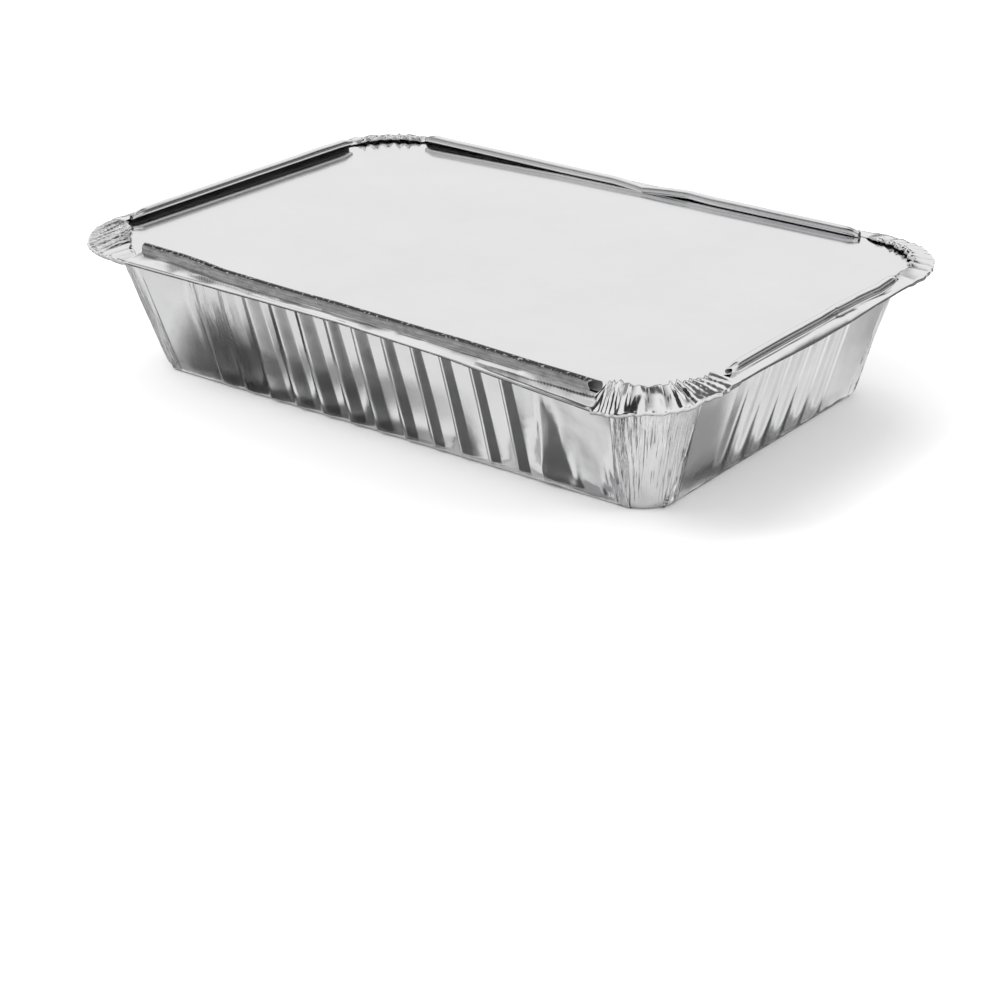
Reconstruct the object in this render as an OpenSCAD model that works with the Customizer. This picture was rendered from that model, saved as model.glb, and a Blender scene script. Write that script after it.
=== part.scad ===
// Oblong foil food tray closed with a flat foil-faced board.
// The tray is one pressed sheet: base, fluted walls, flange, and a rim folded over the board.
// Frame: base underside at z = 0, centred, long sides along X, the drooping rim corner at +X and -Y.

/* [Rim] */
// Length over the closed rim
rim_l = 214; // [190:1:240]
// Width over the closed rim
rim_w = 150; // [130:1:170]
// Corner radius of the rim's outer edge
rim_r = 26; // [20:0.5:32]
// Flange width from the wall's top to the outer edge
flange_w = 8; // [7.5:0.1:10]
// Inset of the rolled bead's centre from the outer edge
flap_w = 4.5; // [4:0.1:5.5]
// Rise of the folded flap from the fold to the bead
flap_rise = 0.25; // [0.1:0.05:1]
// Outer diameter of the rolled bead
bead_d = 2.5; // [2:0.1:3]
// Angle through which the bead is rolled
bead_turn = 300; // [240:5:310]
// Bare length between the bead's cut end and the start of the corner's arc
bead_end = 1; // [0.5:0.1:4]

/* [Rim corners] */
// Pleats in the folded flap at each corner
pleats = 14; // [8:1:16]
// Height of a pleat's ridge over its valley at the flap's free edge
pleat_h = 0.9; // [0.3:0.1:1.5]
// Mean depth of the pleated flap at the corners
corner_flap = 6.6; // [5.5:0.1:7.4]
// Unevenness of the flap's free edge
ragged = 0.5; // [0:0.1:0.8]
// Scallops of the folded outer edge at the corners
scallop = 0.3; // [0:0.05:0.5]

/* [Drooping corner] */
// Drop of the rim's outer edge at the drooping corner
rim_drop = 4.2; // [0:0.1:6]
// Inset at which the droop of the flange and board has faded out
drop_inset = 7; // [5.5:0.1:7.4]
// Length of the droop back along the long side, from the corner's middle
drop_run_long = 110; // [60:1:120]
// Length of the droop along the short side, from the corner's middle
drop_run_short = 40; // [25:1:60]

/* [Walls and base] */
// Height of the flange above the base's underside
tray_h = 39; // [30:0.5:50]
// Length of the base
base_l = 176; // [160:1:186]
// Width of the base
base_w = 109; // [96:1:118]
// Corner radius of the base
base_r = 11; // [8:0.5:16]
// Size of the bend between base and wall
foot_r = 1.2; // [0.6:0.1:2]
// Thickness of the foil
foil_t = 0.1; // [0.06:0.01:0.2]

/* [Flutes] */
// Flutes on each long wall
flutes_long = 13; // [7:1:14]
// Flutes on each short wall
flutes_short = 6; // [3:1:7]
// Spacing of the long walls' flutes
pitch_long = 9.55; // [8:0.05:10.5]
// Spacing of the short walls' flutes
pitch_short = 10.1; // [8:0.05:11]
// Depth of a flute, pressed outwards
flute_d = 1.1; // [0.3:0.1:1.6]
// Width of a flute's flat crest
flute_crest = 3; // [1.5:0.1:3.5]
// Width of each flute's sloping side
flute_side = 1.7; // [0.8:0.1:2]
// Plain height below the flutes
flute_foot = 3; // [2:0.5:6]
// Plain height above the flutes
flute_top = 4; // [2:0.5:8]
// Depth of the creases in the corner walls
crease_d = 0.35; // [0:0.05:0.6]

/* [Lid board] */
// Thickness of the lid board
lid_t = 0.5; // [0.3:0.05:0.9]
// Clearance between each face of the board and the foil
lid_gap = 0.08; // [0.05:0.01:0.2]
// Clearance between the board's edge and the fold
lid_edge_gap = 1; // [0.6:0.1:2]

/* [Hidden] */
half_t = foil_t / 2;
// The fold is just tall enough for the board and its clearances
fold_h = foil_t + lid_t + 2 * lid_gap;
fold_z = tray_h + fold_h;
fold_bend = fold_h / 2;
lid_inset = fold_bend + lid_edge_gap;
bead_r = bead_d / 2 - half_t;
bead_steps = 6;
crease_steps = 14;
// Longest facet along the straight rim
rim_facet = 10;
// Straight length of the rim's long and short sides, and the length of a corner's arc
side_len = [rim_l - 2 * rim_r, rim_w - 2 * rim_r];
arc_len = PI / 2 * rim_r;

// A ring is [half length, half width, corner radius, height]
function rim_ring(inset, z) = [rim_l / 2 - inset, rim_w / 2 - inset, rim_r - inset, z];
function blend_rings(a, b, t) = a + (b - a) * t;
base_ring = [base_l / 2, base_w / 2, base_r, half_t];
top_ring = rim_ring(flange_w, tray_h);
function wall_ring(z) = blend_rings(base_ring, top_ring, (z - half_t) / (tray_h - half_t));
// The same ring moved outwards and upwards
function moved(ring, out, up) = ring + [out, out, out, up];

// A station is [side, is corner, distance along the side or angle in the corner, step]
function straight_at(side, along, step = 0) = [side, false, along, step];
function corner_at(side, step, steps) = [side, true, -90 + 90 * step / steps, step];
function turn(p, side) = [
    p.x * cos(90 * side) - p.y * sin(90 * side),
    p.x * sin(90 * side) + p.y * cos(90 * side)
];
// Outward direction at a station, seen from above
function outward(st) = turn(st[1] ? [cos(st[2]), sin(st[2])] : [0, -1], st[0]);
// Point of a ring at a station, seen from above
function plan_point(ring, st) =
    let (along = ring[st[0] % 2])
    let (away = ring[1 - st[0] % 2])
    let (r = ring[2])
    turn(st[1] ? [along - r, r - away] + r * [cos(st[2]), sin(st[2])] : [st[2], -away], st[0]);
// Distance of a station along the rim's outer edge, from the start of the near long side
function side_start(side) = side == 0 ? 0 : side_start(side - 1) + side_len[(side - 1) % 2] + arc_len;
function edge_distance(st) =
    let (len = side_len[st[0] % 2])
    side_start(st[0]) + (st[1] ? len + arc_len * (st[2] + 90) / 90 : len / 2 + st[2]);

// The drooping corner: the fold drops, and the flange and board follow it less and less inwards
drop_centre = side_len[0] + arc_len / 2;
function drop_along(d) =
    d < drop_centre ? max(0, 1 - (drop_centre - d) / drop_run_long)
    : max(0, 1 - (d - drop_centre) / drop_run_short);
function drop(st, inset) = rim_drop * drop_along(edge_distance(st)) * max(0, 1 - inset / drop_inset);

// Stations round the wall: four for each flute, and creases in the corners
function flute_stations(side) =
    let (count = side % 2 == 0 ? flutes_long : flutes_short)
    let (pitch = side % 2 == 0 ? pitch_long : pitch_short)
    let (foot = flute_crest / 2 + flute_side)
    [for (i = [0:count - 1]) let (c = (i - (count - 1) / 2) * pitch)
        for (k = [0:3]) straight_at(side, c + [-foot, -flute_crest / 2, flute_crest / 2, foot][k], k)];
wall_stations = [for (side = [0:3]) each concat(
    flute_stations(side),
    [for (k = [0:crease_steps]) corner_at(side, k, crease_steps)])];

// Stations round the rim: the beaded straight, then the pleats of the corner
pleat_steps = 2 * pleats;
function bead_half(side) = side_len[side % 2] / 2 - bead_end;
function bead_cells(side) = ceil(2 * bead_half(side) / rim_facet);
function rim_block(side) = bead_cells(side) + 1 + pleat_steps + 1;
rim_stations = [for (side = [0:3]) each concat(
    [for (k = [0:bead_cells(side)])
        straight_at(side, bead_half(side) * (2 * k / bead_cells(side) - 1), k)],
    [for (k = [0:pleat_steps]) corner_at(side, k, pleat_steps)])];
n_wall = len(wall_stations);
n_rim = len(rim_stations);
function block_start(side) = side == 0 ? 0 : block_start(side - 1) + rim_block(side - 1);

// How far a wall station stands out: a flute's crest, or a crease's ridge in a corner
function stand_out(st) =
    st[1] ? crease_d * (st[3] % 2 == 0 ? 1 : -1) * (st[3] % crease_steps == 0 ? 0 : 1)
    : (st[3] == 1 || st[3] == 2) ? flute_d : 0;
// Pleats rise at every other corner station, and their free edge is uneven
function ridge(st) = st[1] ? st[3] % 2 : 0;
function uneven(st) = st[1] ? sin(137 * st[3] + 71 * st[0]) : 0;

// Sheet rows on the wall, as [ring, share of the flute, outward and upward parts of the inner normal]
wall_run = (top_ring[0] - base_ring[0]) / tray_h;
wall_normal = [-1, wall_run] / norm([1, wall_run]);
wall_rows = [
    [moved(base_ring, -foot_r, 0), 0, [0, 1]],
    [wall_ring(half_t + foot_r), 0, wall_normal],
    [wall_ring(flute_foot), 1, wall_normal],
    [wall_ring(tray_h - flute_top), 1, wall_normal],
    [top_ring, 0, (wall_normal + [0, 1]) / norm(wall_normal + [0, 1])]
];
// Sheet rows on the rim, as [inset, height, pleat share, inner normal], up to the bead's underside
rim_rows = [
    [drop_inset, tray_h, 0, [0, 1]],
    [lid_inset, tray_h, 0, [0, 1]],
    [fold_bend, tray_h, 0, [0, 1]],
    [half_t, tray_h + fold_h / 2, 0, [-1, 0]],
    [fold_bend, fold_z, 0.2, [0, -1]],
    [flap_w, fold_z + flap_rise, 1, [0, -1]]
];
bead_z = fold_z + flap_rise + bead_r;

function wall_point(row, st, side) =
    let (ring = moved(row[0], row[2][0] * side * half_t, row[2][1] * side * half_t))
    let (p = plan_point(ring, st) + outward(st) * row[1] * stand_out(st))
    [p.x, p.y, ring[3]];
function rim_point(row, st, side) =
    let (free_edge = row[2] == 1 && st[1])
    let (inset = free_edge ? corner_flap + ragged * uneven(st)
        : row[0] + (row[3][0] == -1 ? scallop * (st[1] ? 1 - ridge(st) : 0) : 0))
    let (up = row[1] + row[2] * pleat_h * ridge(st) + (free_edge ? flap_rise : 0))
    let (ring = moved(rim_ring(inset, up), row[3][0] * side * half_t, row[3][1] * side * half_t))
    let (p = plan_point(ring, st))
    [p.x, p.y, ring[3] - (row[2] == 1 ? 0 : drop(st, row[0]))];
function bead_point(step, st, side) =
    let (turned = bead_turn * step / bead_steps)
    let (r = bead_r + side * half_t)
    let (ring = rim_ring(flap_w + r * sin(turned), bead_z - r * cos(turned)))
    let (p = plan_point(ring, st))
    [p.x, p.y, ring[3]];

// All points of one face of the sheet: side is 1 for the inner face and -1 for the outer one
n_wall_rows = len(wall_rows);
n_rim_rows = len(rim_rows);
function face_points(side) = concat(
    [for (row = wall_rows) for (st = wall_stations) wall_point(row, st, side)],
    [for (row = rim_rows) for (st = rim_stations) rim_point(row, st, side)],
    [for (step = [1:bead_steps]) for (st = rim_stations) bead_point(step, st, side)],
    [[0, 0, half_t + side * half_t]]);
rim_base = n_wall_rows * n_wall;
centre_id = rim_base + (n_rim_rows + bead_steps) * n_rim;
n_face = centre_id + 1;
function wall_id(row, i) = row * n_wall + i % n_wall;
function rim_id(row, i) = rim_base + row * n_rim + i % n_rim;

// Two triangles between two rows, split along either diagonal
function cell(a, b, c, d) = [[a, b, c], [a, c, d]];
function other_cell(a, b, c, d) = [[a, b, d], [b, c, d]];
// Triangles that join two rows with different stations, in order of distance along the rim
function middles(stations) =
    let (d = [for (st = stations) edge_distance(st)])
    let (whole = side_start(3) + side_len[1] + arc_len)
    [for (i = [0:len(d) - 1]) (d[i] + (i == len(d) - 1 ? d[0] + whole : d[i + 1])) / 2];
function passed(list, value, from = 0) =
    from < len(list) && list[from] < value ? passed(list, value, from + 1) : from;
// Where two middles fall together, the wall's edge comes first
tie = 0.00001;
wall_middles = middles(wall_stations);
rim_middles = middles(rim_stations);
join_faces = concat(
    [for (i = [0:n_wall - 1])
        [wall_id(n_wall_rows - 1, i), wall_id(n_wall_rows - 1, i + 1),
            rim_id(0, passed(rim_middles, wall_middles[i] - tie))]],
    [for (i = [0:n_rim - 1])
        [rim_id(0, i + 1), rim_id(0, i), wall_id(n_wall_rows - 1, passed(wall_middles, rim_middles[i] + tie))]]);
wall_faces = [for (row = [0:n_wall_rows - 2]) for (i = [0:n_wall - 1]) each
    cell(wall_id(row, i), wall_id(row, i + 1), wall_id(row + 1, i + 1), wall_id(row + 1, i))];
last_row = n_rim_rows - 1;
rim_faces = concat(
    [for (row = [0:last_row - 2]) for (i = [0:n_rim - 1]) each
        cell(rim_id(row, i), rim_id(row, i + 1), rim_id(row + 1, i + 1), rim_id(row + 1, i))],
    [for (row = last_row - 1) for (i = [0:n_rim - 1]) each
        other_cell(rim_id(row, i), rim_id(row, i + 1), rim_id(row + 1, i + 1), rim_id(row + 1, i))]);
bead_faces = [for (side = [0:3]) for (row = [last_row:last_row + bead_steps - 1])
    for (i = [block_start(side):block_start(side) + bead_cells(side) - 1]) each
    cell(rim_id(row, i), rim_id(row, i + 1), rim_id(row + 1, i + 1), rim_id(row + 1, i))];
base_faces = [for (i = [0:n_wall - 1]) [centre_id, wall_id(0, i + 1), wall_id(0, i)]];
sheet_faces = concat(base_faces, wall_faces, join_faces, rim_faces, bead_faces);

// The sheet's cut edge: along the pleats, across the bead's ends and along the bead's free edge
function edge_strip(a, b) = cell(a, b, b + n_face, a + n_face);
cut_edge = [for (side = [0:3]) each concat(
    let (start = block_start(side))
    let (bead_last = start + bead_cells(side))
    [for (row = [last_row:last_row + bead_steps - 1]) each concat(
        edge_strip(rim_id(row + 1, start), rim_id(row, start)),
        edge_strip(rim_id(row, bead_last), rim_id(row + 1, bead_last)))],
    let (start = block_start(side))
    let (bead_last = start + bead_cells(side))
    [for (i = [start:bead_last - 1]) each
        edge_strip(rim_id(last_row + bead_steps, i + 1), rim_id(last_row + bead_steps, i))],
    let (start = block_start(side))
    [for (i = [start + bead_cells(side):start + rim_block(side) - 1]) each
        edge_strip(rim_id(last_row, i + 1), rim_id(last_row, i))])];

function flipped(faces) = [for (f = faces) [for (i = [len(f) - 1:-1:0]) f[i]]];
function raised(faces, by) = [for (f = faces) f + [for (i = f) by]];

// The pressed tray
module tray() {
    color("silver")
        polyhedron(
            points = concat(face_points(1), face_points(-1)),
            faces = concat(sheet_faces, raised(flipped(sheet_faces), n_face), flipped(cut_edge)),
            convexity = 12);
}

// Rings of the board: its edge inside the fold, and the line where it leaves the droop
lid_rings = [lid_inset, drop_inset];
lid_z = tray_h + half_t + lid_gap;
function lid_points(z) = concat(
    [for (inset = lid_rings) for (st = rim_stations)
        let (p = plan_point(rim_ring(inset, z), st)) [p.x, p.y, z - drop(st, inset)]],
    [[0, 0, z]]);
lid_centre = 2 * n_rim;
n_lid = lid_centre + 1;
// The board's cells are split as the flange's and flap's are, so that they stay clear where they droop
lid_top = concat(
    [for (i = [0:n_rim - 1]) each
        other_cell(i, (i + 1) % n_rim, (i + 1) % n_rim + n_rim, i + n_rim)],
    [for (i = [0:n_rim - 1]) [i + n_rim, (i + 1) % n_rim + n_rim, lid_centre]]);
lid_side = [for (i = [0:n_rim - 1]) each
    cell(i + n_lid, (i + 1) % n_rim + n_lid, (i + 1) % n_rim, i)];

// The flat board lid, bent only where the rim droops
module lid() {
    color("gainsboro")
        polyhedron(
            points = concat(lid_points(lid_z + lid_t), lid_points(lid_z)),
            faces = flipped(concat(lid_top, raised(flipped(lid_top), n_lid), lid_side)),
            convexity = 4);
}

tray();
lid();
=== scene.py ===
# Oblong foil tray with its rim folded over a board lid.
# The frame gives the object's place and outer size. Sheet sizes below are in millimetres.
import math

import bmesh
import bpy
import numpy as np
from mathutils import Matrix, Vector


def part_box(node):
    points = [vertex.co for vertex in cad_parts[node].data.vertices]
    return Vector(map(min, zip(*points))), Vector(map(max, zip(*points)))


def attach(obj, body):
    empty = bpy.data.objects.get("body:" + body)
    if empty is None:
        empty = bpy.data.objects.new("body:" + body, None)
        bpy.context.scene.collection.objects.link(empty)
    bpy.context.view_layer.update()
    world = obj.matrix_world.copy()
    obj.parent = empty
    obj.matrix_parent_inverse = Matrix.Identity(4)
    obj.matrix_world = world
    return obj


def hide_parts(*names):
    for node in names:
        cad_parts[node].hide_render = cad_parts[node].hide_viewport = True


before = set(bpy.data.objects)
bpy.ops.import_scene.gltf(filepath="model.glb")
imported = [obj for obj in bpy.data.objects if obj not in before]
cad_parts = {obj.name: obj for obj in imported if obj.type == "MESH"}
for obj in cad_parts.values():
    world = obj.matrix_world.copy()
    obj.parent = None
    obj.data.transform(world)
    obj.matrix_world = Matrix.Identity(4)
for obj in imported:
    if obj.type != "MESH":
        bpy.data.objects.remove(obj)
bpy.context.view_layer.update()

MM = 0.001

# Rim, walls and base of the tray
TRAY_LOW, TRAY_HIGH = (np.array(corner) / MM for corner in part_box("tray"))
RIM_L, RIM_W = (TRAY_HIGH - TRAY_LOW)[:2]
RIM_R = 26.0
FLANGE_W = 8.0
TRAY_H = 39.0
BASE_L, BASE_W, BASE_R = 176.0, 109.0, 11.0
FOOT_R = 1.2
ROOT_R = 0.8
FOIL_T = 0.1

# Folded flap and rolled bead. The bead's ends are measured along each side from its middle, near long side
# first. Beyond its ends the flap eases away over a short stretch.
BEAD_SPAN = ((-76.0, 81.8), (-46.0, 42.0), (-77.3, 83.2), (-50.0, 49.0))
BEAD_EASE = 2.5
LID_T = 0.5
LID_GAP = 0.08
LID_EDGE_GAP = 1.0
LID_WAVE = 0.05
FOLD_H = FOIL_T + LID_T + 2 * LID_GAP
FOLD_Z = TRAY_H + FOLD_H
FLAP_W = 4.5
FLAP_RISE = 0.25
BEAD_R = (1.3, 1.1, 1.3, 1.2)
# The bead's section, from the flap to its free edge: up its outer side, over the top, and down and under
# towards the lid. In bead radii from a point on the flap under its middle, as [towards the lid, up].
BEAD_ROOT = ((-1.12, 0.12), (-1.03, 0.4), (-0.99, 0.7))
# How far round its middle the bead is rolled, and by what steps, in degrees
BEAD_TURN, BEAD_STEP = 300, 25
# All beads but the near long one are pinched where they end: over what length, and to what share of their
# size
PINCH_LEN, PINCH_SHARE = 5, 0.55
# The step of the bead's turn where the far beads carry a painted dark streak, standing in for a reflection,
# and how dark it is
STREAK_STEP, STREAK_SHADE = 6, 0.8
# Width of the pleated flap at the corners, and how much wider it is at the left corner
BARE_FLAP, WIDE_FLAP = 6.6, 5.0
# How far the bead stands off its plain height, and how far it is shifted towards the lid, along each side,
# as [distance from the side's middle, lift, shift]
BEAD_SET = (
    ((-75, 0.9, 3.2), (-61, 0.85, 2.4), (-52, 0.75, 1.6), (-43, 0.65, 0.3), (0, 0.1, 0), (33, -0.5, 0),
     (56, -1.2, 0), (80, -1.8, 0)),
    ((-46, -0.15, 0), (-30, 0, 0), (42, 0.1, 0)),
    ((-77, -0.3, 1.6), (0, -0.3, 1.6), (29, -0.3, 1.8), (56, 0.3, 2.3), (83, 0.75, 2.8)),
    ((-50, 1.0, 3.5), (0, 0.9, 2.9), (49, 0.7, 2.4)),
)

# Drooping rim corner: distances round the rim from the near long side's start, and how far the edge hangs
# there. The droop fades inwards to nothing at the inset.
DROOP = ((60, 81, 117, 140, 163, 169, 174, 180, 185, 193, 203, 214),
         (0.0, 0.15, 1.7, 3.6, 5.3, 5.2, 3.9, 3.8, 3.5, 1.65, 0.45, 0.0))
DROP_INSET = 7.0

# Flutes, as one set for the long walls and one for the short
FLUTE_COUNT = (13, 6)
FLUTE_PITCH = (9.55, 10.1)
# One flute's profile: places across it, and how far it stands out there. Its crest leans to one side.
FLUTE_PLACES = (-3.9, -3.5, -3.1, -2.5, -2.1, -1.8, -0.6, 0.6, 1.8, 2.8, 3.6, 4.1)
FLUTE_OUT = (0.0, 0.0, 0.14, 0.56, 0.86, 0.94, 0.8, 0.61, 0.41, 0.21, 0.03, 0.0)
# The long walls' flutes get narrower and shallower from this flute to this one
FLUTE_NARROWING = (3.0, 9.5)
FLUTE_NARROWEST = 0.58
# The short walls' flutes are shallow and evenly rounded: their places, half their width, and their share of
# the depth
SOFT_PLACES = tuple(-4.4 + 0.8 * k for k in range(12))
SOFT_HALF_W = 3.9
SOFT_SHARE = 0.33
# The near long wall's first flutes are shallower than the rest
FAINT_FLUTES, FAINT_SHARE = 2, 0.6
# What differs from flute to flute, as [least, uneven part]: depth, share of the profile's width, height of
# the foot, and how far the top ends below the flange
FLUTE_DEPTH = (1.05, 0.3)
FLUTE_STRETCH = (0.84, 0.2)
FLUTE_FOOT = (0.2, 0.9)
FLUTE_TOP = (0.2, 1.2)
# The flutes get wider towards the foot, by this share over the tray's height
FLUTE_SPREAD = 0.3

# The crumple in place of the near long wall's last flute: place of its foot, lean with height, width at the
# foot, height where it ends, and how far it stands out as a share of its width
SPIKE_AT, SPIKE_LEAN, SPIKE_W, SPIKE_TOP, SPIKE_SHARE = 54.0, 0.16, 11.5, 29.0, 0.15

# How strongly the walls are creased at each corner, near right corner first
CORNER_CREASES = (1.0, 0.25, 0.6, 0.8)

# Waves in the foil, as [height, length round the sheet, length up or across it, seed]
WALL_WAVES = ((0.22, 38, 30, 31), (0.09, 13, 16, 33), (0.018, 4.5, 9, 35))
FOOT_WAVES = ((0.16, 3.1, 2.4, 37),)
FOLD_WAVES = ((0.12, 23, 1, 43), (0.05, 6, 1, 45))
FOLD_SCALLOPS = ((0.2, 1.1, 1, 53), (0.2, 3.3, 1, 54))
EDGE_WAVES = ((0.5, 2.6, 1, 13), (0.25, 0.9, 1, 14))

# Cells round the sheet: for each plain stretch, and for each corner from the near right one on
CELLS_PLAIN = 12
CELLS_CREASED = 24
CELLS_CORNER = (124, 84, 84, 110)

SIDE_LEN = (RIM_L - 2 * RIM_R, RIM_W - 2 * RIM_R)
ARC_LEN = math.pi / 2 * RIM_R
NEAR_CORNER, RIGHT_CORNER, BACK_CORNER, LEFT_CORNER = range(4)
NEAR_LONG, RIGHT_SHORT, FAR_LONG, LEFT_SHORT = range(4)


def step_up(low, high, x):
    """0 below low, 1 above high, smooth between."""
    t = np.clip((np.asarray(x, float) - low) / (high - low), 0, 1)
    return t * t * (3 - 2 * t)


def within(a, b, c, d, x):
    """0 outside a and d, 1 from b to c, smooth between."""
    return step_up(a, b, x) * (1 - step_up(c, d, x))


def lattice(ix, iy, seed):
    """A repeatable number from 0 to 1 for each whole-numbered place."""
    value = np.sin(ix * 127.1 + iy * 311.7 + seed * 74.7) * 43758.5453
    return value - np.floor(value)


def ripple(x, y, seed):
    """Smooth uneven waves, from -1 to 1, about one wave in each unit of x and y."""
    x, y = np.broadcast_arrays(np.asarray(x, float), np.asarray(y, float))
    ix, iy = np.floor(x), np.floor(y)
    fx, fy = step_up(0, 1, x - ix), step_up(0, 1, y - iy)
    low = lattice(ix, iy, seed) * (1 - fx) + lattice(ix + 1, iy, seed) * fx
    high = lattice(ix, iy + 1, seed) * (1 - fx) + lattice(ix + 1, iy + 1, seed) * fx
    return 2 * (low * (1 - fy) + high * fy) - 1


def wave_sum(table, x, y):
    """The sum of a table's waves at distance x round the sheet and y up or across it."""
    return sum(height * ripple(x / x_len, y / y_len, seed) for height, x_len, y_len, seed in table)


def creases(x, y, seed):
    """Sharp-backed creases, from 0 between them to 1 on their ridge."""
    return 1 - np.abs(ripple(x, y, seed)) ** 0.6


def flute_size(number):
    """A long wall's flute as a share of the widest one."""
    return 1 - (1 - FLUTE_NARROWEST) * step_up(*FLUTE_NARROWING, number)


class Round:
    """The places round the sheet: which side, how far along it or what angle in its corner."""

    def __init__(self):
        self.lay_out()
        self.turn = np.radians(90 * self.side)
        self.angle = np.radians(np.where(self.corner, self.at, -90))
        length = np.take(SIDE_LEN, self.side % 2)
        start = np.cumsum([0] + [SIDE_LEN[s % 2] + ARC_LEN for s in range(4)])
        in_corner = length + RIM_R * (self.angle + math.pi / 2)
        self.distance = start[self.side] + np.where(self.corner, in_corner, length / 2 + self.at)
        self.whole = start[4]
        self.out = self.turned(np.cos(self.angle), np.sin(self.angle))
        self.corner_start = start[:4] + np.take(SIDE_LEN, [0, 1, 0, 1])
        from_corners = [self.from_corner(c) for c in range(4)]
        self.nearest_corner = np.argmin([abs(s - ARC_LEN / 2) for s in from_corners], 0)
        self.from_nearest = np.choose(self.nearest_corner, from_corners)
        to_sides = [abs(self.from_middle(s)) - SIDE_LEN[s % 2] / 2 for s in range(4)]
        self.nearest_side = np.argmin(to_sides, 0)
        self.set_beads()

    def lay_out(self):
        """Steps along each side and through each corner."""
        side, corner, at = [], [], []
        for s in range(4):
            places = self.straight_places(s % 2, CELLS_CREASED if s == NEAR_LONG else CELLS_PLAIN)
            cells = CELLS_CORNER[s]
            side += [s] * (len(places) + cells + 1)
            corner += [False] * len(places) + [True] * (cells + 1)
            at += places + [-90 + 90 * k / cells for k in range(cells + 1)]
        self.side, self.corner, self.at = np.array(side), np.array(corner), np.array(at)
        self.count = len(at)

    def set_beads(self):
        """Where the beads are, how firmly they hold the flap, and how far they are lifted and shifted."""
        self.bead = np.zeros(self.count, bool)
        self.lift, self.shift, self.held = np.zeros((3, self.count))
        for s, ((first, last), bead_set) in enumerate(zip(BEAD_SPAN, BEAD_SET)):
            m = self.from_middle(s)
            self.bead |= (m >= first) & (m <= last)
            held = within(first - BEAD_EASE, first, last, last + BEAD_EASE, m)
            at_side, lift, shift = np.array(bead_set, float).T
            self.lift += held * np.interp(m, at_side, lift)
            self.shift += held * np.interp(m, at_side, shift)
            self.held += held

    def around(self, distance):
        """Distance round the rim, wrapped to lie within half its length either way."""
        return (distance + self.whole / 2) % self.whole - self.whole / 2

    def from_middle(self, side):
        """Distance of every place from the middle of a side."""
        return self.around(self.distance - self.corner_start[side] + SIDE_LEN[side % 2] / 2)

    def from_corner(self, corner):
        """Distance of every place from the start of a corner's arc."""
        return self.around(self.distance - self.corner_start[corner])

    @staticmethod
    def straight_places(kind, cells):
        """Places along a straight side: the profile's places in each flute, even steps at either end."""
        half = SIDE_LEN[kind] / 2 - 0.4
        fluted = FLUTE_COUNT[kind] * FLUTE_PITCH[kind] / 2
        middle = [-fluted]
        for k in range(FLUTE_COUNT[kind]):
            centre = (k - (FLUTE_COUNT[kind] - 1) / 2) * FLUTE_PITCH[kind]
            size = 1 if kind else float(flute_size(k))
            middle += [centre + place * size for place in (FLUTE_PLACES, SOFT_PLACES)[kind]]
        middle.append(fluted)
        plain = [half - (half - fluted) * k / cells for k in range(cells)]
        return [-c for c in plain] + middle + plain[::-1]

    def turned(self, x, y):
        c, s = np.cos(self.turn), np.sin(self.turn)
        return np.stack([x * c - y * s, x * s + y * c], -1)

    def ring(self, half_l, half_w, radius):
        """Points of a rounded rectangle at these places."""
        even = self.side % 2 == 0
        along = np.where(even, half_l, half_w)
        away = np.where(even, half_w, half_l)
        x = np.where(self.corner, along - radius + radius * np.cos(self.angle), self.at)
        y = np.where(self.corner, radius - away + radius * np.sin(self.angle), -away)
        return self.turned(x, y)

    def rim_ring(self, inset):
        return self.ring(RIM_L / 2 - inset, RIM_W / 2 - inset, np.maximum(RIM_R - inset, 0.1))


def droop(distance, inset):
    """Drop of the rim near its drooping corner, fading inwards."""
    return np.interp(distance, *DROOP) * np.clip(1 - inset / DROP_INSET, 0, 1)


def leaning_pleats():
    """The left corner's pleats: narrow, all along the short side's direction, up to one long fold."""
    pleats = [(-4.0, -4.0, 0.0), (-2.0, -3.2, 0.6)]
    for k in range(44):
        outer = -1.0 + 0.85 * k
        lean = np.interp(outer, (0, 10, 20, 30, 37), (1.0, 7.5, 7.0, 4.0, 1.0))
        height = (0.6 + 0.7 * lattice(k, 3, 71)) if k % 2 else 0.05 + 0.4 * lattice(k, 5, 72)
        pleats.append((outer, outer - lean, height))
    return tuple(sorted(pleats, key=lambda pleat: pleat[1])) + (
        (37.3, 38.5, 0.2), (38.6, 42.4, 1.3), (39.6, 43.4, 0.3), (42.0, 44.4, 0.35), (44.5, 46.0, 0.2))


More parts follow.
